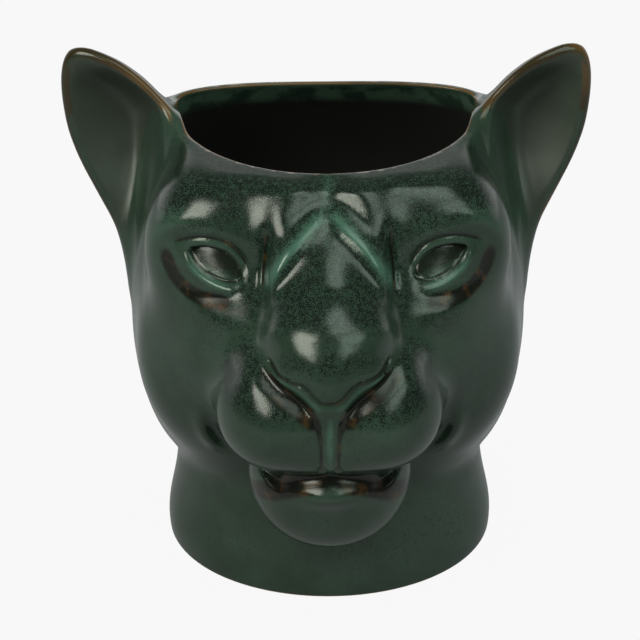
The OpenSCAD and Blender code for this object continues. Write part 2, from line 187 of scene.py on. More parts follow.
def neck(x, y, z, grow=0.0):
    r = NECK_R + (FOOT_R - NECK_R) * np.exp(-((z - FOOT_WIDE) / FLARE) ** 2) + grow
    return trim(np.sqrt(x * x + y * y) - r, z - 0.474 * LIP_H, 0.14 * HALF_W)


def egg(x, y, z, centre, radii, turn=0.0, reach=None):
    k = HALF_D if reach is None else reach
    dx, dy, dz = x - centre[0] * HALF_W, y - centre[1] * k, z - centre[2] * LIP_H
    c, s = math.cos(math.radians(turn)), math.sin(math.radians(turn))
    px, py = dx * c + dy * s, dy * c - dx * s
    rx, ry, rz = radii[0] * HALF_W, radii[1] * k, radii[2] * LIP_H
    q = np.sqrt((px / rx) ** 2 + (py / ry) ** 2 + (dz / rz) ** 2)
    g = np.sqrt((px / rx ** 2) ** 2 + (py / ry ** 2) ** 2 + (dz / rz ** 2) ** 2) + 1e-9
    return q * (q - 1) / g


def tapered_bar(x, y, z, a, b, ra, rb):
    a, b = np.array(a), np.array(b)
    e = b - a
    t = np.clip(((x - a[0]) * e[0] + (y - a[1]) * e[1] + (z - a[2]) * e[2]) / (e @ e), 0, 1)
    return np.sqrt((x - a[0] - e[0] * t) ** 2 + (y - a[1] - e[1] * t) ** 2
                   + (z - a[2] - e[2] * t) ** 2) - (ra + (rb - ra) * t)


def muzzle(x, X, y, z):
    pad = blend(egg(X, y, z, (0.226, -0.722, 0.541), (0.312, 0.276, 0.134), 0, NOSE),
                egg(x, y, z, (0, -0.757, 0.505), (0.250, 0.221, 0.100), 0, NOSE), 0.12 * HALF_W)
    return trim(pad, 0.431 * LIP_H - 0.30 * X - z, 0.055 * HALF_W)


def chin(x, X, y, z):
    """Broad below, cut off on top in an arch; the mouth is the hollow between it and the pads."""
    below = blend(egg(x, y, z, (0, -0.618, 0.316), (0.375, 0.255, 0.134), 0, NOSE),
                  egg(x, y, z, (0, -0.655, 0.385), (0.360, 0.238, 0.090), 0, NOSE), 0.16 * HALF_W)
    top = 0.404 * LIP_H - 0.0165 * X * X + 0.12 * np.maximum(X - 15, 0) ** 2
    mouth = egg(x, y, z, (0, -0.600, 0.408), (0.362, 0.286, 0.076), 0, NOSE)
    return blend(trim(below, z - top, 0.05 * HALF_W), mouth, 0.05 * HALF_W)


def nose_leather(x, X, y, z):
    nose = blend(egg(x, y, z, (0, -0.873, 0.672), (0.215, 0.115, 0.058), 0, NOSE),
                 egg(X, y, z, (0.158, -0.864, 0.663), (0.092, 0.082, 0.041), 0, NOSE), 0.07 * HALF_W)
    return blend(nose, egg(x, y, z, (0, -0.922, 0.626), (0.118, 0.073, 0.055), 0, NOSE), 0.083 * HALF_W)


CHEEK = ((0.514, -0.578, 0.535), (0.403, 0.422, 0.219))


def bridge_bed():
    return (0, -0.482 * NOSE, 0.9 * LIP_H), (0, -0.8 * NOSE, 0.711 * LIP_H), 0.150 * HALF_W, 0.188 * HALF_W


def masses(x, y, z):
    X = np.abs(x)
    d = blend(skull(x, y, z), neck(x, y, z), 0.07 * HALF_W)
    m = y < 6
    if not m.any():
        return d
    f = masses_in_front(x[m], X[m], y[m], z[m], d[m])
    d = d.copy()
    d[m] = f
    return d


def masses_in_front(x, X, y, z, d):
    H = HALF_W
    d = blend(d, egg(X, y, z, *CHEEK), 0.222 * H)
    d = blend(d, egg(X, y, z, (0.361, -0.875, 0.644), (0.333, 0.375, 0.158)), 0.222 * H)
    d = blend(d, egg(X, y, z, (0.470, -0.650, 0.895), (0.300, 0.300, 0.095), -32), 0.26 * H)
    d = blend(d, egg(X, y, z, (0.520, -0.600, 0.800), (0.350, 0.350, 0.150), -35), 0.22 * H)
    d = blend(d, tapered_bar(x * 0.74, y, z, *bridge_bed()), 0.27 * H)
    bridge = tapered_bar(x * 0.74, y, z, (0, -0.528 * NOSE, 0.935 * LIP_H), (0, -0.822 * NOSE, 0.728 * LIP_H),
                         0.095 * H, 0.168 * H)
    d = blend(d, bridge, 0.13 * H)
    d = blend(d, muzzle(x, X, y, z), 0.097 * H)
    d = blend(d, chin(x, X, y, z), 0.045 * H)
    d = blend(d, nose_leather(x, X, y, z), 0.056 * H)
    tip = tapered_bar(x * 0.80, y, z, (0, -0.80 * NOSE, 0.742 * LIP_H), (0, -0.863 * NOSE, 0.655 * LIP_H),
                      0.180 * H, 0.180 * H)
    return blend(d, trim(tip, 0.60 * LIP_H - z, 0.1 * H), 0.06 * H)


# Fine modelling of the face, drawn on X and Z; the eye's lines are drawn on its own tilted axes

EYE, EYE_TILT = (39.4, 134.6), math.radians(16)
OPEN_ABOVE = smooth_line([(-10.7, -1.0), (-9.3, 2.1), (-6.5, 4.1), (-3.2, 5.4), (0.6, 5.8), (4.9, 5.0), (8.0, 3.4),
                          (9.6, 2.1)])
OPEN_BELOW = smooth_line([(-10.7, -1.3), (-9.3, -2.1), (-6.5, -3.1), (-2.9, -3.4), (1.1, -3.0), (4.7, -1.9), (7.6, 0.0),
                          (9.6, 1.9)])
UPPER_LID = [(14, 1.6), (8.6, 5.2), (4.2, 6.6), (0, 7.1), (-3.6, 6.7), (-7.2, 5.0), (-9.9, 2.8), (-12.0, 0.2)]
LID_CREASE = [(17, 0.2), (14.2, 2.9), (10.0, 6.3), (5.8, 8.3), (1.0, 9.2), (-3.6, 8.6), (-7.6, 6.5), (-10.5, 3.8),
              (-13.0, 0.2)]
LOWER_LID = [(11.8, 1.2), (9.9, -0.8), (6.8, -3.3), (2.3, -5.0), (-2.4, -5.4), (-6.7, -4.8), (-10.6, -3.0)]
UNDER_EYE = [(17.5, 0.5), (15.4, -4.6), (11.8, -8.6), (7.6, -10.9), (2.9, -11.4), (-2.7, -10.6), (-7.0, -9.0),
             (-10.0, -7.4)]
BROW = [(45, 151), (54, 148), (60, 142), (63, 134)]
# Height along the bridge of the nose, and how far the clay is built up or pressed in there
BRIDGE = smooth_line([(112, 0), (115.5, 0.5), (118.5, 0.5), (121, 0), (124, -0.9), (127, -1.95), (130, -2.6),
                      (133, -2.95), (136, -3.1), (139, -3.1), (142, -3.1), (146, -3.2), (150, -3.1), (154, -2.2),
                      (160, 0), (166, 0)])
FROWN = [(0.3, 154.0), (3.2, 152.0), (9.3, 147.2), (15.8, 141.0), (20.4, 134.2), (22.6, 128.5)]
CREST = [(0, 171), (0, 164), (0, 157), (0, 152)]
FURROW = [(21.6, 151.0), (21.4, 142), (22.2, 133), (22.8, 124)]
NOSE_LINE = [(20.4, 112.8), (17.8, 110.0), (13.8, 108.7), (10.0, 108.3), (7.2, 106.6), (5.0, 104.0), (2.2, 102.4),
             (-0.6, 102.2)]
UNDER_NOSE = [(23.5, 110.6), (21.0, 108.4), (17.8, 106.0), (13.6, 103.6), (9.6, 100.8), (6.4, 97.6), (4.4, 93.8)]
CHANNEL = [(5.0, 96.2), (3.7, 92.4), (3.1, 87.0), (2.9, 79.0), (2.7, 73.5)]
MOUTH = [(0, 68.8), (7, 67.6), (13, 65.0), (18.5, 61.4), (24.5, 57.2), (29, 55.0)]
CORNER = [(41.6, 77), (41.0, 69), (37.4, 62), (32, 56.5)]
FOLD = [(46.0, 81), (46.0, 71), (42.6, 62.5), (36, 55.5)]


def eye_axes(X, z):
    du, dv = X - EYE[0], z - EYE[1]
    return du * math.cos(EYE_TILT) + dv * math.sin(EYE_TILT), dv * math.cos(EYE_TILT) - du * math.sin(EYE_TILT)


def opening(u, v):
    slit = np.minimum(np.interp(u, *OPEN_ABOVE.T) - v, v - np.interp(u, *OPEN_BELOW.T))
    return slit - np.maximum(np.abs(u + 0.55) - 9.5, 0)


def eye_relief(X, z):
    u, v = eye_axes(X, z)
    h = -2.8 * hill((u + 1) / 17, (v - 2) / 7) - hill((X - 38) / 13, (z - 111) / 6)
    ball = np.sqrt(np.maximum(1 - ((u + 0.6) / 11.5) ** 2 - ((v - 0.8) / 6.4) ** 2, 0))
    h += (5.2 * ball - 4.1 - 0.09 * u - 0.12 * v) * ramp(opening(u, v), -0.4, 0.6)
    h += stroke(u, v, UPPER_LID, 2.6, 0.5, 0.14)
    h += stroke(u, v, LID_CREASE, 1.2, -0.8, 0.2)
    h += stroke(u, v, LOWER_LID, 2.1, 1.1, 0.12)
    h += stroke(u, v, UNDER_EYE, 2.8, -0.6, 0.2)
    return h


def forehead_relief(x, z):
    h = pair(x, z, BROW, 3.4, 1.0, 0.3)
    h += pair(x, z, FROWN, 3.2, 1.6, 0.12)
    h += pair(x, z, FURROW, 1.8, -1.6, 0.35)
    h += 1.9 * hill((np.abs(x) - 15.5) / 7, (z - 152) / 9) - 4.0 * hill(x / 8, (z - 159) / 8)
    return h


def nose_and_mouth_relief(x, z):
    h = np.interp(z, *BRIDGE.T) * hill((x / 16) ** 2)
    h += pair(x, z, NOSE_LINE, 1.15, -0.85, 0.04)
    h += pair(x, z, UNDER_NOSE, 2.4, -0.9, 0.2) + 2.6 * hill((np.abs(x) - 28) / 8, (z - 108) / 6.5)
    h += (2.0 * hill((np.abs(x) - 5) / 6, (z - 94) / 6)
          + 2.0 * hill((x - 43) / 9, (z - 121) / 7) + 0.6 * hill((x + 43) / 9, (z - 121) / 7))
    h += pair(x, z, CHANNEL, 1.25, -1.0, 0.08)
    h += stroke(x, z, [(0, 100), (0, 90), (0, 80), (0, 71)], 1.7, 0.35, 0.35)
    h += pair(x, z, CORNER, 2.3, -1.3, 0.35)
    h += pair(x, z, FOLD, 2.7, 1.7, 0.4)
    h += 3.4 * hill(x / 13, (z - 62.5) / 4.5)
    return h


def face_relief(x, y, z):
    h = np.zeros(x.shape)
    m = y < -12
    if m.any():
        X, Z = x[m], z[m]
        h[m] = (eye_relief(np.abs(X), Z) + forehead_relief(X, Z) + nose_and_mouth_relief(X, Z)) * ramp(-y[m], 12, 30)
    return h


def pooled(x, y, z):
    """Where brown glaze has run together: grooves, the mouth and the corners of the eyes."""
    u, v = eye_axes(np.abs(x), z)
    t = stroke(u, v + 0.5, UNDER_EYE, 2.7, 1.3, 0.12) + stroke(u, v, LID_CREASE, 0.8, 0.8, 0.15)
    rim = np.abs(opening(u, v))
    t += 0.75 * np.exp(-(rim / 0.6) ** 2) * ramp(-v, -3.0, 2.0)
    t += pair(x, z, FURROW, 0.9, 0.8, 0.3) + pair(x, z, NOSE_LINE, 0.6, 0.75, 0.04)
    t += pair(x, z + 1.6, UNDER_NOSE, 3.2, 1.35, 0.1) + pair(x, z, CHANNEL, 1.0, 0.7, 0.1)
    t += pair(x, z, MOUTH, 3.6, 1.4, 0.1)
    return np.where(y < -15, t, 0)


# The ball of the eye: dark glaze, painted darker over its upper part as the upper lid's shade.
def eyeball_with_lid_shade(x, y, z):
    u, v = eye_axes(np.abs(x), z)
    return np.where(y < -15, ramp(opening(u, v), -0.2, 0.8) * ramp(v, -2.5, 0.5), 0)


def thinned(x, y, z):
    """Where the glaze is thin over the raised lines of the face and shows teal."""
    u, v = eye_axes(np.abs(x), z)
    t = stroke(u, v, LOWER_LID, 1.5, 0.75, 0.3) + stroke(u, v, UPPER_LID, 1.4, 0.35, 0.2)
    t += pair(x, z, FROWN, 1.7, 1.0, 0.1) + stroke(x, z, CREST, 1.8, 0.35, 0.3)
    t += pair(x, z, BROW, 3.2, 0.4, 0.25)
    t += pair(x, z, [(20, 110.4), (15, 107.0), (10, 105.2), (5.5, 101.0), (1.0, 99.6)], 1.4, 0.6, 0.1)
    t += stroke(x, z, [(0, 100), (0, 90), (0, 80), (0, 72)], 1.3, 0.7, 0.2)
    return np.where(y < -15, t, 0)


# The ears: a deep cup between the outer edge and the ridge beside the lip, drawn on X and Z

EAR_EDGE = [(90.2, 189.6), (93.6, 187.9), (96.0, 183.2), (97.1, 176.5), (96.9, 168), (95.6, 158.5), (93.2, 150.3),
            (90.0, 142.6), (85.2, 133), (80.2, 123), (75.6, 112), (71, 100)]
EAR_RIDGE = [(90.2, 189.6), (86, 189.5), (80.6, 187.9), (75, 185.6), (69.8, 182.4), (64.9, 178.6), (60.8, 174.6),
             (57.6, 170.6), (55.6, 165.6), (54.8, 160), (54.4, 150), (54.6, 135), (56.5, 118), (60, 100)]
# The cup's depth, and the spacing of the tables that describe the ear
EAR_CUP = 21.0
EAR_STEP = 0.75
EAR_X = np.arange(30, 112.01, EAR_STEP)
EAR_Z = np.arange(84, 204.01, EAR_STEP)


def soften(t, n):
    for _ in range(n):
        p = np.pad(t, 1, mode="edge")
        t = (p[:-2, 1:-1] + 2 * p[1:-1, 1:-1] + p[2:, 1:-1]) / 4
        p = np.pad(t, 1, mode="edge")
        t = (p[1:-1, :-2] + 2 * p[1:-1, 1:-1] + p[1:-1, 2:]) / 4
    return t


def ear_tables():
    """Front and back of the ear's wall, and the distance to its edge, over X and Z."""
    gx, gz = np.meshgrid(EAR_X, EAR_Z, indexing="ij")
    edge, ridge = smooth_line(EAR_EDGE), smooth_line(EAR_RIDGE)
    ring = np.vstack([edge, ridge[::-1]])
    inside = np.zeros(gx.shape, bool)
    for a, b in zip(ring, np.roll(ring, -1, 0)):
        crosses = ((a[1] <= gz) & (b[1] > gz)) | ((b[1] <= gz) & (a[1] > gz))
        if a[1] != b[1]:
            inside ^= crosses & (gx < a[0] + (gz - a[1]) * (b[0] - a[0]) / (b[1] - a[1]))
    side = np.where(inside, 1.0, -1.0)
    to_edge, to_ridge = off_line(gx, gz, edge) * side, off_line(gx, gz, ridge) * side

    def cup(grow):
        across = np.sin(np.clip((to_edge + grow) / 36, 0, 1) * np.pi / 2)
        wall = np.sin(np.clip((to_ridge + grow) / 16, 0, 1) * np.pi / 2)
        return 2 + 0.28 * (gx - 75) + EAR_CUP * across * wall * ramp(gz, 100, 148)

    front, back = soften(cup(-3.0), 4), soften(cup(1.2) + 5.4, 4)
    tables = [soften(-np.minimum(np.abs(to_edge), np.abs(to_ridge)) * side, 2), front, back]
    for t in (front, back):
        a, b = np.gradient(t, EAR_STEP)
        tables.append(soften(1 / np.sqrt(1 + a * a + b * b), 2))
    return np.stack(tables, -1)


EAR_TABLES = ear_tables()


def read_tables(X, z):
    u = np.clip((X - EAR_X[0]) / EAR_STEP, 1, len(EAR_X) - 2.001)
    v = np.clip((z - EAR_Z[0]) / EAR_STEP, 1, len(EAR_Z) - 2.001)
    i, j = np.rint(u).astype(int), np.rint(v).astype(int)
    u, v = u - i, v - j
    wu = (0.5 * (0.5 - u) ** 2, 0.75 - u * u, 0.5 * (0.5 + u) ** 2)
    wv = (0.5 * (0.5 - v) ** 2, 0.75 - v * v, 0.5 * (0.5 + v) ** 2)
    out = 0
    for p in range(3):
        for q in range(3):
            out = out + (wu[p] * wv[q])[:, None] * EAR_TABLES[i + p - 1, j + q - 1]
    return out.T


def ear(x, y, z):
    """Distance to the ear: read from the tables near it, and a rough one to its box elsewhere."""
    X = np.abs(x)
    d = np.maximum(np.maximum(46 - X, X - 98), np.maximum(np.abs(y - 8) - 30, np.maximum(98 - z, z - 192))) * 0.7 + 8
    m = (X > 38) & (X < 106) & (y > -34) & (y < 50) & (z > 90)
    if m.any():
        edge, front, back, cf, cb = read_tables(X[m], z[m])
        d[m] = trim(trim((front - y[m]) * cf, (y[m] - back) * cb, 3.0), edge, 4.5)
    return d


def ear_marks(p):
    """The ear's brown edge, and the dry glaze in its cup."""
    X, y, z = np.abs(p[:, 0]), p[:, 1], p[:, 2]
    rim, cup = np.zeros(len(p)), np.zeros(len(p))
    m = (X > 48) & (z > 112) & (y > -34)
    edge, front = read_tables(X[m], z[m])[:2]
    near = 1 - ramp(np.abs(y[m] - front), 0.8, 2.5)
    free = np.where(X[m] > 78, ramp(z[m], 108, 128), ramp(z[m], 160, 172))
    rim[m] = hill((edge + 0.6) / 1.3) * free * (1 - ramp(y[m] - front, 3, 5))
    cup[m] = near * ramp(-edge, 1.5, 5)
    return rim, cup


# The whole cast: outside and hollow. The base is solid up to the floor's top; no recess is cut for the floor disc.

def outside(x, y, z, fine=True):
    d = masses(x, y, z)
    if fine:
        d = d - face_relief(x, y, z)
    d = trim(d, z - LIP_H - LIP_LEAN * y, 3)
    return trim(blend(d, ear(x, y, z), 10), -z, 1.6)


def hollow(x, y, z):
    """The skull and neck a wall further in, with pockets behind cheeks, bridge, muzzle and chin; clay stays between."""
    d = blend(skull(x, y, z, -WALL), neck(x, y, z, -WALL), 3)
    m = y < 2
    if m.any():
        d = d.copy()
        d[m] = hollow_in_front(x[m], np.abs(x[m]), y[m], z[m], d[m])
    return np.maximum(d, FLOOR_TOP - z)


def hollow_in_front(x, X, y, z, d):
    bed = tapered_bar(x * 0.74, y, z, *bridge_bed())
    for mass in (egg(X, y, z, *CHEEK), bed, muzzle(x, X, y, z), chin(x, X, y, z)):
        d = blend(d, mass + WALL, 4)
    return d


def cast(x, y, z):
    return trim(outside(x, y, z), -hollow(x, y, z), 2.2)


def slope_of(field, p, e=0.2):
    g = np.empty(p.shape)
    for i in range(3):
        q = p.copy()
        q[:, i] += e
        r = p.copy()
        r[:, i] -= e
        g[:, i] = field(*q.T) - field(*r.T)
    return g / (2 * e)


def bend_of(field, p, normal, e):
    """How strongly the surface bends: above zero on ridges, below zero in grooves."""
    a = np.cross(normal, np.where(np.abs(normal[:, 2:]) < 0.7, [[0.0, 0, 1]], [[1.0, 0, 0]]))
    a /= np.linalg.norm(a, axis=1, keepdims=True)
    b = np.cross(normal, a)
    total = -4 * field(*p.T)
    for t in (a, -a, b, -b):
        total += field(*(p + t * e).T)
    return total / (e * e)


# From the worked shape to a mesh of even cells that follows the surface

# The near low corner and the size of the room that is searched, and a cell's eight corners
ROOM_LOW, ROOM_SIZE = np.array([-104.0, -116.0, -4.0]), np.array([208.0, 190.0, 200.0])
CORNERS = np.array([[i, j, k] for i in (0, 1) for j in (0, 1) for k in (0, 1)])
KEY_STEP = 4096


def keys(c):
    """One whole number for each cell or corner."""
    return (c[..., 0].astype(np.int64) * KEY_STEP + c[..., 1]) * KEY_STEP + c[..., 2]


def fine_cells(field):
    """The cells near the surface, found by halving large ones."""
    size = GRID * 16
    n = np.ceil(ROOM_SIZE / size).astype(int)
    cells = np.stack(np.meshgrid(*[np.arange(k) for k in n], indexing="ij"), -1).reshape(-1, 3)
    while True:
        p = ROOM_LOW + (cells + 0.5) * size
        cells = cells[np.abs(field(*p.T)) < size * 1.9]
        if size < GRID * 1.5:
            return cells
        cells = (cells[:, None] * 2 + CORNERS).reshape(-1, 3)
        size /= 2


def net(field):
    """A mesh with one point in each cell that the surface crosses and one quad round each edge that it cuts."""
    cells = fine_cells(field)
    corners = keys(cells[:, None] + CORNERS)
    unique, back = np.unique(corners, return_inverse=True)
    ijk = np.stack([unique // (KEY_STEP * KEY_STEP), unique // KEY_STEP % KEY_STEP, unique % KEY_STEP], -1)
    value = field(*(ROOM_LOW + ijk * GRID).T)[back.reshape(corners.shape)]
    mixed = (value.min(1) < 0) & (value.max(1) >= 0)
    cells, value = cells[mixed], value[mixed]
    order = np.argsort(keys(cells))
    cells, value = cells[order], value[order]
    index = keys(cells)
    total, count = np.zeros((len(cells), 3)), np.zeros(len(cells))
    for a in range(8):
        for b in range(a + 1, 8):
            if abs(CORNERS[a] - CORNERS[b]).sum() == 1:
                va, vb = value[:, a], value[:, b]
                cut = (va < 0) != (vb < 0)
                t = np.where(cut, va / np.where(cut, va - vb, 1), 0)
                total += cut[:, None] * (CORNERS[a] + (CORNERS[b] - CORNERS[a]) * t[:, None])
                count += cut
    verts = ROOM_LOW + (cells + total / count[:, None]) * GRID
    faces = []
    for axis, near in ((0, 4), (1, 2), (2, 1)):
        b, c = [np.eye(3, dtype=int)[k] for k in ((axis + 1) % 3, (axis + 2) % 3)]
        m = (value[:, 0] < 0) != (value[:, near] < 0)
        base = cells[m]
        quad = np.stack([np.searchsorted(index, keys(base - o)) for o in (0 * b, b, b + c, c)], -1)
        flip = value[m, 0] >= 0
        quad[flip] = quad[flip][:, ::-1]
        faces.append(quad)
    return verts, np.vstack(faces)


def mesh_from(name, verts, faces):
    mesh = bpy.data.meshes.new(name)
    mesh.vertices.add(len(verts))
    mesh.vertices.foreach_set("co", np.asarray(verts, np.float32).ravel())
    n = faces.shape[1]
    mesh.loops.add(faces.size)
    mesh.loops.foreach_set("vertex_index", faces.astype(np.int32).ravel())
    mesh.polygons.add(len(faces))
    mesh.polygons.foreach_set("loop_start", np.arange(0, faces.size, n, dtype=np.int32))
    mesh.update(calc_edges=True)
    mesh.validate()
    return mesh


def points_of(mesh):
    co = np.empty(len(mesh.vertices) * 3, np.float32)
    mesh.vertices.foreach_get("co", co)
    return co.reshape(-1, 3).astype(float)


def new_object(name, mesh):
    obj = bpy.data.objects.new(name, mesh)
    bpy.context.scene.collection.objects.link(obj)
    return obj


def settle(p, field, rounds=3):
    """Moves points towards the surface, down the field's slope."""
    for _ in range(rounds):
        g = slope_of(field, p, 0.15)
        f = field(*p.T)
        p = p - g * np.clip(f / np.maximum((g * g).sum(1), 0.2), -0.6, 0.6)[:, None]
    return p


def unit(v):
    return v / np.maximum(np.linalg.norm(v, axis=1, keepdims=True), 1e-9)


def refine(p, tris, field, turn, shortest):
    """Halves each edge over which the surface turns more than so many degrees, and parts its triangles."""
    normal = unit(slope_of(field, p, 0.2))
    pairs = np.sort(np.concatenate([tris[:, [0, 1]], tris[:, [1, 2]], tris[:, [2, 0]]]), axis=1)
    edges, back = np.unique(pairs, axis=0, return_inverse=True)
    back = back.reshape(3, -1).T
    bend = (normal[edges[:, 0]] * normal[edges[:, 1]]).sum(1)
    far = np.linalg.norm(p[edges[:, 0]] - p[edges[:, 1]], axis=1)
    cut = (bend < math.cos(math.radians(turn))) & (far > shortest)
    new = np.full(len(edges), -1)
    new[cut] = len(p) + np.arange(cut.sum())
    p = np.vstack([p, settle(p[edges[cut]].mean(1), field, 2)])
    mid = new[back]
    marked = mid >= 0
    count = marked.sum(1)
    done = [tris[count == 0]]
    for k in range(3):
        a, b, c = tris[:, k], tris[:, (k + 1) % 3], tris[:, (k + 2) % 3]
        ab, bc, ca = mid[:, k], mid[:, (k + 1) % 3], mid[:, (k + 2) % 3]
        one = (count == 1) & marked[:, k]
        done += [np.stack([a, ab, c], 1)[one], np.stack([ab, b, c], 1)[one]]
        two = (count == 2) & ~marked[:, k]
        done += [np.stack([c, ca, bc], 1)[two], np.stack([a, b, bc], 1)[two], np.stack([a, bc, ca], 1)[two]]
    a, b, c = tris.T
    ab, bc, ca = mid.T
    three = count == 3
    for t in ((a, ab, ca), (ab, b, bc), (ca, bc, c), (ab, bc, ca)):
        done.append(np.stack(t, 1)[three])
    return p, np.vstack(done)


def worked_mesh(field):
    p, quads = net(field)
    p = settle(p, field, 3)
    d1 = np.linalg.norm(p[quads[:, 0]] - p[quads[:, 2]], axis=1)
    d2 = np.linalg.norm(p[quads[:, 1]] - p[quads[:, 3]], axis=1)
    short = (d1 <= d2)[:, None]
    tris = np.vstack([np.where(short, quads[:, [0, 1, 2]], quads[:, [0, 1, 3]]),
                      np.where(short, quads[:, [0, 2, 3]], quads[:, [1, 2, 3]])])
    for turn, shortest in ((((17, 0.8), (20, 0.45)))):
        p, tris = refine(p, tris, field, turn, shortest)
    return p, tris


verts, faces = worked_mesh(cast)
whole = new_object("whole_cast", mesh_from("whole_cast", verts, faces))


# The cast is parted at the ears' roots into the pieces of the CAD, with a closed cut inside the clay

EAR_CUT = Vector((0.965, 0, 0.263)).normalized()
EAR_CUT_AT = 103.5


def part_off(name, keep_head, side):
    """keep_head cuts both ears off; otherwise only the ear of that side stays."""
    bm = bmesh.new()
    bm.from_mesh(whole.data)
    for s in ((1, -1) if keep_head else (side,)):
        no = Vector((EAR_CUT.x * s, 0, EAR_CUT.z))
        ends = bmesh.ops.bisect_plane(bm, geom=bm.verts[:] + bm.edges[:] + bm.faces[:], dist=1e-4,
                                      plane_co=no * EAR_CUT_AT, plane_no=no,
                                      clear_outer=keep_head, clear_inner=not keep_head)
        rim = [e for e in ends["geom_cut"] if isinstance(e, bmesh.types.BMEdge) and e.is_boundary]
        filled = bmesh.ops.holes_fill(bm, edges=rim, sides=0)["faces"]
        bmesh.ops.triangulate(bm, faces=filled)
    bmesh.ops.recalc_face_normals(bm, faces=bm.faces[:])
    mesh = bpy.data.meshes.new(name)
    bm.to_mesh(mesh)
    bm.free()
    return new_object(name, mesh)


def glaze_marks(p, normal):
    """The marks that the glaze reads: lining and band inside the lip, how far the head lies up, edges and lines; the
    ball of the eye also carries the upper lid's painted shade.
    """
    sharp = bend_of(cast, p, normal, 1.2)
    depth = LIP_H + LIP_LEAN * p[:, 1] - p[:, 2]
    inner = ramp(-hollow(*p.T) - outside(*p.T, fine=False), 0.3, 2.5)
    rim, cup = ear_marks(p)
    rim = np.maximum(rim, ramp(-depth, -1.0, -0.1) * ramp(sharp, 0.15, 0.35))
    return {"lining": inner * ramp(depth, 5, 11),
            "band": inner * ramp(depth, 0, 2) * (1 - ramp(depth, 6, 11)),
            "lie": unit(slope_of(masses, p, 1.5))[:, 2], "rim": rim, "cup": cup,
            "pooled": pooled(*p.T), "thinned": thinned(*p.T), "ball": eyeball_with_lid_shade(*p.T)}


def corner_normals(mesh, normal):
    """The worked shape's normal at each corner of each face, or the face's own where the two part, as at a cut."""
    n_faces = len(mesh.polygons)
    face_n = np.empty(n_faces * 3, np.float32)
    mesh.polygons.foreach_get("normal", face_n)
    face_n = face_n.reshape(-1, 3)
    loop_v = np.empty(len(mesh.loops), np.int32)
    mesh.loops.foreach_get("vertex_index", loop_v)
    sizes = np.empty(n_faces, np.int32)
    mesh.polygons.foreach_get("loop_total", sizes)
    loop_f = np.repeat(np.arange(n_faces), sizes)
    loop_n = normal[loop_v]
    away = (loop_n * face_n[loop_f]).sum(1) < 0.2
    loop_n[away] = face_n[loop_f][away]
    return loop_n.tolist()


def finish_cast(obj):
    """Normals and glaze marks read from the worked shape, then the piece goes to its place in metres."""
    mesh = obj.data
    p = points_of(mesh)
    normal = unit(slope_of(cast, p, 0.2))
    mesh.polygons.foreach_set("use_smooth", np.ones(len(mesh.polygons), bool))
    corners = corner_normals(mesh, normal)
    for name, data in glaze_marks(p, normal).items():
        mark = mesh.attributes.new(name, "FLOAT", "POINT")
        mark.data.foreach_set("value", data.astype(np.float32))
    p[:, 1] += STAND
    mesh.vertices.foreach_set("co", (p * MM).astype(np.float32).ravel())
    mesh.update()
    mesh.normals_split_custom_set(corners)
    return obj


head = finish_cast(part_off("head", True, 0))
right_ear = finish_cast(part_off("ear_right", False, 1))
left_ear = finish_cast(part_off("ear_left", False, -1))
bpy.data.objects.remove(whole)


# Floor slab and rubber plug

def turned(name, profile, turns=96):
    """Turned round the foot's axis from (radius, height) in millimetres: from axis to axis, or else a closed ring."""
    bm = bmesh.new()
    rings = []
    for r, z in profile:
        angles = [2 * math.pi * k / turns for k in range(1 if r < 1e-6 else turns)]
        rings.append([bm.verts.new((r * math.cos(a) * MM, (STAND + r * math.sin(a)) * MM, z * MM)) for a in angles])
    closed = len(rings[0]) > 1
    for a, b in zip(rings, rings[1:] + (rings[:1] if closed else [])):
        for k in range(turns):
            n = (k + 1) % turns
            loop = [a[k % len(a)], a[n % len(a)], b[n % len(b)], b[k % len(b)]]
            loop = [v for i, v in enumerate(loop) if v not in loop[:i]]
            if len(loop) > 2:
                bm.faces.new(loop)
    bmesh.ops.recalc_face_normals(bm, faces=bm.faces[:])
    mesh = bpy.data.meshes.new(name)
    bm.to_mesh(mesh)
    bm.free()
    for f in mesh.polygons:
        f.use_smooth = True
    return new_object(name, mesh)


def rounded(corners, radius, steps=5):
    """A profile with its corners rounded; corners on the axis stay sharp."""
    out = []
    n = len(corners)
    for i, (r, z) in enumerate(corners):
        if r < 1e-6:
            out.append((r, z))
            continue
        p = Vector((r, z))
        a, b = Vector(corners[i - 1]) - p, Vector(corners[(i + 1) % n]) - p
        k = min(radius, a.length * 0.45, b.length * 0.45)
        a, b = p + a.normalized() * k, p + b.normalized() * k
        for s in range(steps + 1):
            t = s / steps
            q = a * (1 - t) ** 2 + p * 2 * t * (1 - t) + b * t * t
            out.append((q.x, q.y))
    return out


slab_r = (slab_high[0] - slab_low[0]) / 2 / MM
slab_z0, slab_z1 = slab_low[2] / MM, slab_high[2] / MM
DRAIN_R, STEM_R, GRIP_R, FLANGE_T = 7.0, 6.85, 4.5, 2.5
slab_profile = [(DRAIN_R, slab_z0), (slab_r, slab_z0), (slab_r, slab_z1), (DRAIN_R, slab_z1)]
slab = turned("floor_disc", rounded(slab_profile, 0.8))

FLANGE_R = (plug_high[0] - plug_low[0]) / 2 / MM
plug_z0, plug_z1 = plug_low[2] / MM, plug_high[2] / MM
plug_profile = rounded([
    (0, plug_z0), (6.2, plug_z0), (STEM_R, plug_z0 + 1.5), (STEM_R, slab_z1), (FLANGE_R, slab_z1),
    (FLANGE_R, slab_z1 + FLANGE_T), (6.0, slab_z1 + FLANGE_T), (4.1, slab_z1 + 4.2), (4.1, plug_z1 - 3.2),
    (GRIP_R, plug_z1 - 2.0), (GRIP_R, plug_z1), (0, plug_z1)], 0.7)
plug = turned("rubber_plug", plug_profile)

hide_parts("head_shell")
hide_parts("left_ear")
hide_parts("right_ear")
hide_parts("floor_slab")
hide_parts("drain_plug")
for piece in (head, left_ear, right_ear, slab):
    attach(piece, "pot")
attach(plug, "plug")


# Shader nodes

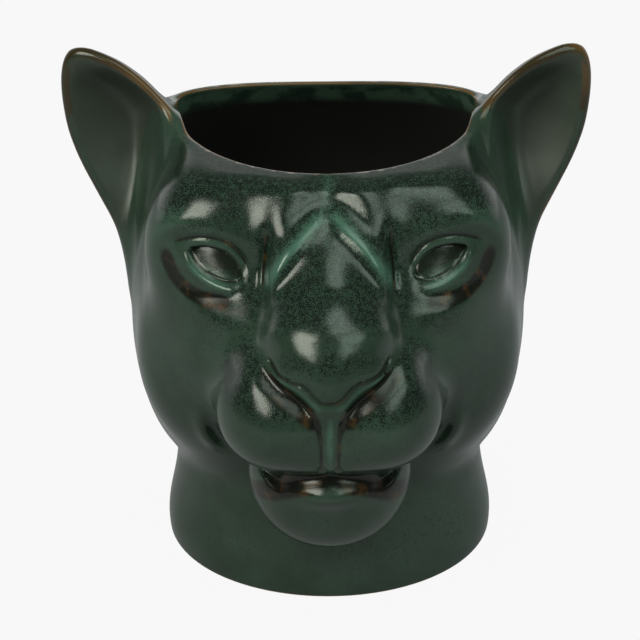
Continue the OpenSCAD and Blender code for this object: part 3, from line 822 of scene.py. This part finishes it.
class Nodes:
    def __init__(self, tree):
        self.tree = tree

    def add(self, kind, **settings):
        n = self.tree.nodes.new(kind)
        for k, v in settings.items():
            setattr(n, k, v)
        return n

    def feed(self, socket, value):
        if isinstance(value, bpy.types.NodeSocket):
            self.tree.links.new(value, socket)
        elif isinstance(value, (int, float)) and socket.type in ("RGBA", "VECTOR"):
            socket.default_value = (value,) * len(socket.default_value)
        else:
            socket.default_value = value

    def maths(self, op, a, b=0.0, c=0.0):
        n = self.add("ShaderNodeMath", operation=op)
        for s, v in zip(n.inputs, (a, b, c)):
            self.feed(s, v)
        return n.outputs[0]

    def span(self, value, a, b, c=0.0, d=1.0, smooth=True):
        n = self.add("ShaderNodeMapRange", interpolation_type="SMOOTHSTEP" if smooth else "LINEAR", clamp=True)
        for s, v in zip(n.inputs, (value, a, b, c, d)):
            self.feed(s, v)
        return n.outputs[0]

    def mix(self, t, a, b):
        n = self.add("ShaderNodeMix", data_type="RGBA")
        self.feed(n.inputs[0], t)
        self.feed(n.inputs[6], a)
        self.feed(n.inputs[7], b)
        return n.outputs[2]

    def mark(self, name):
        return self.add("ShaderNodeAttribute", attribute_name=name).outputs["Fac"]

    def place(self):
        return self.add("ShaderNodeTexCoord").outputs["Object"]

    def noise(self, scale, detail=2.0, rough=0.5):
        n = self.add("ShaderNodeTexNoise")
        self.feed(n.inputs["Vector"], self.place())
        for k, v in (("Scale", scale), ("Detail", detail), ("Roughness", rough)):
            self.feed(n.inputs[k], v)
        return n.outputs["Fac"]


def rgb(r, g, b):
    """A colour as seen on screen, 0 to 255, for a shader."""
    return tuple(((v / 255 + 0.055) / 1.055) ** 2.4 if v > 10.3 else v / 255 / 12.92 for v in (r, g, b)) + (1.0,)


def group(name, inputs, outputs):
    tree = bpy.data.node_groups.new(name, "ShaderNodeTree")
    for title, kind, value in inputs:
        s = tree.interface.new_socket(title, in_out="INPUT", socket_type=kind)
        s.default_value = value
    for title, kind in outputs:
        tree.interface.new_socket(title, in_out="OUTPUT", socket_type=kind)
    n = Nodes(tree)
    return tree, n, n.add("NodeGroupInput").outputs, n.add("NodeGroupOutput").inputs


def glaze_grain():
    """Fine dark crystals in a glaze: a mask that is grainy where the cover is between thin and full."""
    tree, n, given, out = group("Glaze grain", [
        ("Cover", "NodeSocketFloat", 0.5), ("Grain per metre", "NodeSocketFloat", 1500.0),
        ("Scatter", "NodeSocketFloat", 0.35)], [("Mask", "NodeSocketFloat"), ("Height", "NodeSocketFloat")])
    fine = n.noise(given["Grain per metre"], 2.0, 0.6)
    coarse = n.noise(n.maths("MULTIPLY", given["Grain per metre"], 0.23), 2.0, 0.6)
    grain = n.maths("ADD", n.maths("MULTIPLY", fine, 0.72), n.maths("MULTIPLY", coarse, 0.28))
    shift = n.maths("MULTIPLY", n.maths("SUBTRACT", grain, 0.5), n.maths("MULTIPLY", given["Scatter"], 6.0))
    mask = n.span(n.maths("ADD", given["Cover"], shift), 0.2, 0.8)
    n.feed(out["Mask"], mask)
    n.feed(out["Height"], grain)
    return tree


def clay_pits():
    """A few pinholes and dust specks from the kiln."""
    tree, n, given, out = group("Kiln pinholes", [
        ("Pits per metre", "NodeSocketFloat", 90.0), ("Size", "NodeSocketFloat", 0.05)],
        [("Mask", "NodeSocketFloat")])
    v = n.add("ShaderNodeTexVoronoi", feature="F1")
    n.feed(v.inputs["Vector"], n.place())
    n.feed(v.inputs["Scale"], given["Pits per metre"])
    some = n.add("ShaderNodeSeparateColor")
    n.feed(some.inputs[0], v.outputs["Color"])
    dot = n.span(v.outputs["Distance"], n.maths("MULTIPLY", given["Size"], 0.5), given["Size"], 1.0, 0.0)
    n.feed(out["Mask"], n.maths("MULTIPLY", dot, n.maths("GREATER_THAN", some.outputs[0], 0.72)))
    return tree


GRAIN, PITS = glaze_grain(), clay_pits()


def use(n, tree, **values):
    g = n.add("ShaderNodeGroup", node_tree=tree)
    for k, v in values.items():
        n.feed(g.inputs[k.replace("_", " ")], v)
    return g.outputs


def material(name):
    m = bpy.data.materials.new(name)
    m.use_nodes = True
    m.node_tree.nodes.clear()
    n = Nodes(m.node_tree)
    shader = n.add("ShaderNodeBsdfPrincipled")
    n.feed(n.add("ShaderNodeOutputMaterial").inputs["Surface"], shader.outputs[0])
    return m, n, shader.inputs


def bump(n, height, distance, strength=1.0, normal=None):
    b = n.add("ShaderNodeBump")
    n.feed(b.inputs["Height"], height)
    b.inputs["Distance"].default_value = distance
    b.inputs["Strength"].default_value = strength
    if normal:
        n.feed(b.inputs["Normal"], normal)
    return b.outputs[0]


def green_glaze():
    """Grey-green and smooth on the flanks; black-green and grainy where the head lies up to the kiln; teal where thin
    over raised lines; brown where it pools in grooves, and clay brown along the edges of ears and lip."""
    m, n, s = material("Green reactive glaze")
    at = n.add("ShaderNodeSeparateXYZ")
    n.feed(at.inputs[0], n.place())
    lie, cup, thin, pool, rim = [n.mark(k) for k in ("lie", "cup", "thinned", "pooled", "rim")]
    front = n.span(at.outputs["Y"], 0.022, -0.012)
    drift = n.noise(20.0, 2.0, 0.5)
    cloud = n.noise(85.0, 3.0, 0.6)
    cover = n.maths("MULTIPLY", n.span(lie, 0.05, 0.60), front)
    cover = n.maths("MULTIPLY_ADD", n.maths("SUBTRACT", drift, 0.5), 0.9, cover)
    cover = n.maths("MULTIPLY_ADD", n.maths("SUBTRACT", cloud, 0.5), 0.5, cover)
    cover = n.maths("MULTIPLY_ADD", thin, -0.9, cover)
    cover = n.maths("MULTIPLY_ADD", cup, n.span(drift, 0.45, 0.62, 0.1, 0.75), cover)
    cover = n.span(cover, 0.1, 1.1, 0.06, 0.70, False)
    grain = use(n, GRAIN, Cover=cover, Grain_per_metre=2300.0, Scatter=0.50)
    deep, mid, teal = rgb(36, 50, 39), rgb(45, 61, 49), rgb(61, 91, 76)
    colour = n.mix(n.span(n.maths("MULTIPLY_ADD", cloud, 0.6, drift), 0.62, 1.0), deep, mid)
    show = n.maths("MULTIPLY_ADD", n.span(cover, 0.2, 0.6), 0.30, thin)
    colour = n.mix(n.span(show, 0.1, 1.0, 0.0, 0.85), colour, teal)
    colour = n.mix(n.maths("MULTIPLY", grain["Mask"], 0.92), colour, rgb(8, 13, 9))
    # Painted shade: the ball of the eye goes near-black, most of all over its upper part under the lid, on top of its
    # dark glaze.
    colour = n.mix(n.maths("MULTIPLY", n.mark("ball"), 0.9), colour, rgb(16, 20, 13))
    colour = n.mix(n.maths("MULTIPLY", cup, 0.45), colour, rgb(62, 62, 54))
    streak = n.noise(160.0, 3.0, 0.6)
    amber = n.mix(n.span(streak, 0.50, 0.66), rgb(13, 11, 6), rgb(52, 34, 12))
    colour = n.mix(n.span(pool, 0.25, 0.85, 0.0, 0.92), colour, amber)
    bare = n.mix(n.span(drift, 0.4, 0.6), rgb(46, 34, 16), rgb(92, 66, 34))
    colour = n.mix(n.span(rim, 0.2, 0.8, 0.0, 0.85), colour, bare)
    inside = n.mark("lining")
    colour = n.mix(inside, colour, rgb(31, 30, 28))
    # A mottled green band, a few millimetres deep, just down the inside of the lip.
    lip_band_colour = n.mix(n.span(cloud, 0.42, 0.60), rgb(34, 50, 40), rgb(66, 88, 70))
    colour = n.mix(n.maths("MULTIPLY", n.mark("band"), 0.85), colour, lip_band_colour)
    pits = use(n, PITS, Pits_per_metre=95.0, Size=0.06)["Mask"]
    colour = n.mix(pits, colour, rgb(10, 12, 9))
    foot = n.span(at.outputs["Z"], 0.0012, 0.0003)
    colour = n.mix(foot, colour, rgb(150, 120, 92))
    n.feed(s["Base Color"], colour)
    rough = n.maths("MULTIPLY_ADD", grain["Mask"], 0.07, n.span(cloud, 0.3, 0.7, 0.08, 0.12))
    rough = n.maths("MULTIPLY_ADD", cup, 0.30, rough)
    rough = n.maths("MULTIPLY_ADD", n.span(pool, 0.3, 0.9), 0.06, rough)
    rough = n.maths("MULTIPLY_ADD", inside, 0.25, rough)
    rough = n.maths("MULTIPLY_ADD", foot, 0.6, rough)
    n.feed(s["Roughness"], rough)
    s["IOR"].default_value = 1.46
    waves = bump(n, n.noise(140.0, 3.0, 0.5), 0.0004, 0.10)
    n.feed(s["Normal"], bump(n, grain["Height"], 0.00009, 0.6, waves))
    return m


def floor_glaze():
    m, n, s = material("Dark floor glaze")
    cloud = n.noise(60.0, 3.0, 0.6)
    colour = n.mix(n.span(cloud, 0.35, 0.65), rgb(14, 15, 12), rgb(24, 30, 24))
    grain = use(n, GRAIN, Cover=0.4, Grain_per_metre=900.0, Scatter=0.3)
    n.feed(s["Base Color"], n.mix(grain["Mask"], colour, rgb(9, 10, 8)))
    n.feed(s["Roughness"], n.span(cloud, 0.3, 0.7, 0.22, 0.4))
    s["IOR"].default_value = 1.52
    n.feed(s["Normal"], bump(n, cloud, 0.0005, 0.3))
    return m


def black_rubber():
    m, n, s = material("Black rubber")
    cloud = n.noise(220.0, 3.0, 0.6)
    n.feed(s["Base Color"], n.mix(n.span(cloud, 0.4, 0.7), rgb(22, 22, 22), rgb(38, 37, 35)))
    n.feed(s["Roughness"], n.span(cloud, 0.3, 0.7, 0.48, 0.62))
    n.feed(s["Normal"], bump(n, n.noise(2600.0, 2.0, 0.5), 0.00004, 0.4))
    return m


glaze = green_glaze()
for piece in (head, left_ear, right_ear):
    piece.data.materials.append(glaze)
slab.data.materials.append(floor_glaze())
plug.data.materials.append(black_rubber())
for node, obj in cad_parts.items():
    fill = {"floor_slab": slab, "drain_plug": plug}.get(node, head).data.materials[0]
    obj.data.materials.clear()
    obj.data.materials.append(fill)


# Studio: pale floor, air, soft boxes and the camera

def seen_direct(n):
    """1 where the camera, a gloss or a clear material looks, 0 for the light that falls on things."""
    path = n.add("ShaderNodeLightPath")
    a = n.maths("ADD", path.outputs["Is Camera Ray"], path.outputs["Is Glossy Ray"])
    return n.maths("MINIMUM", n.maths("ADD", a, path.outputs["Is Transmission Ray"]), 1.0)


def pale_floor():
    """White to the camera, dim where the glaze mirrors it, and matt grey to the light that falls on it."""
    mat = bpy.data.materials.new("Pale floor")
    mat.use_nodes = True
    mat.node_tree.nodes.clear()
    n = Nodes(mat.node_tree)
    matt, glow, both = n.add("ShaderNodeBsdfDiffuse"), n.add("ShaderNodeEmission"), n.add("ShaderNodeMixShader")
    matt.inputs["Color"].default_value = (0.22, 0.22, 0.22, 1)
    glow.inputs["Color"].default_value = (0.97, 0.97, 0.97, 1)
    path = n.add("ShaderNodeLightPath")
    mirrored = n.maths("ADD", path.outputs["Is Glossy Ray"], path.outputs["Is Transmission Ray"])
    glossy = n.maths("MULTIPLY", mirrored, 0.10)
    n.feed(both.inputs[0], n.maths("MULTIPLY_ADD", path.outputs["Is Camera Ray"], 0.955, glossy))
    n.feed(both.inputs[1], matt.outputs[0])
    n.feed(both.inputs[2], glow.outputs[0])
    n.feed(n.add("ShaderNodeOutputMaterial").inputs["Surface"], both.outputs[0])
    return mat


def studio_air():
    """Pale blue light from all round. The camera sees white there, and the glaze mirrors it mostly from low behind."""
    world = bpy.data.worlds.new("Studio air")
    world.use_nodes = True
    world.node_tree.nodes.clear()
    n = Nodes(world.node_tree)
    air, white, pick = n.add("ShaderNodeBackground"), n.add("ShaderNodeBackground"), n.add("ShaderNodeMixShader")
    air.inputs["Color"].default_value = (0.92, 0.96, 1.0, 1)
    air.inputs["Strength"].default_value = 0.86
    white.inputs["Color"].default_value = (0.95, 0.95, 0.95, 1)
    path = n.add("ShaderNodeLightPath")
    up = n.add("ShaderNodeSeparateXYZ")
    n.feed(up.inputs[0], n.place())
    backwards, level = n.span(up.outputs["Y"], 0.15, 0.75, 0.0, 0.95), n.span(up.outputs["Z"], 0.55, 0.20, 0.05, 1.0)
    behind = n.maths("MULTIPLY", backwards, level)
    camera_sees = path.outputs["Is Camera Ray"]
    n.feed(white.inputs["Strength"], n.maths("MAXIMUM", camera_sees, n.maths("ADD", behind, 0.07)))
    n.feed(pick.inputs[0], seen_direct(n))
    n.feed(pick.inputs[1], air.outputs[0])
    n.feed(pick.inputs[2], white.outputs[0])
    n.feed(n.add("ShaderNodeOutputWorld").inputs["Surface"], pick.outputs[0])
    return world


floor_mesh = bpy.data.meshes.new("studio_floor")
floor_mesh.from_pydata([(-4, -4, 0), (4, -4, 0), (4, 4, 0), (-4, 4, 0)], [], [(0, 1, 2, 3)])
studio_floor = new_object("studio_floor", floor_mesh)
floor_mesh.materials.append(pale_floor())
bpy.context.scene.world = studio_air()


def soft_box(name, azimuth, elevation, distance, wide, high, power, colour=(1, 1, 1)):
    """A soft box round the head. Azimuth 0 is in front of the face, above zero to the right in the picture."""
    lamp = bpy.data.lights.new(name, "AREA")
    lamp.shape = "RECTANGLE"
    lamp.size, lamp.size_y = wide, high
    lamp.energy = power
    lamp.color = colour
    obj = new_object(name, lamp)
    a, e = math.radians(azimuth), math.radians(elevation)
    aim = Vector((0, STAND * MM, 0.11))
    at = Vector((math.sin(a) * math.cos(e), -math.cos(a) * math.cos(e), math.sin(e)))
    obj.location = aim + at * distance
    obj.rotation_euler = at.to_track_quat("Z", "Y").to_euler()
    return obj


soft_box("left_soft_box", -42, 38, 1.5, 0.72, 0.72, 12, (0.97, 1.0, 0.86))
soft_box("right_soft_box", 40, 41, 1.6, 0.90, 0.60, 4.5, (0.80, 1.0, 0.86))
soft_box("top_soft_box", 34, 67, 1.5, 0.75, 0.66, 4.5, (0.80, 1.0, 0.86))

camera = bpy.data.cameras.new("camera")
camera.sensor_width = 36
FOCAL_PX, PICTURE_PX = 2390, 640
camera.lens = FOCAL_PX / PICTURE_PX * camera.sensor_width
camera.clip_start, camera.clip_end = 0.05, 20
camera.dof.use_dof = False
eye = new_object("camera", camera)
PITCH, ROLL, AWAY = math.radians(24.2), math.radians(0.5), 0.9
look = Vector((-0.0030, STAND * MM, 0.0842))
back = Vector((0, -math.cos(PITCH), math.sin(PITCH)))
eye.location = look + back * AWAY
turn = back.to_track_quat("Z", "Y").to_matrix()
eye.rotation_euler = (turn @ Matrix.Rotation(-ROLL, 3, "Z")).to_euler()
bpy.context.scene.camera = eye
bpy.context.scene.view_settings.view_transform = "Standard"
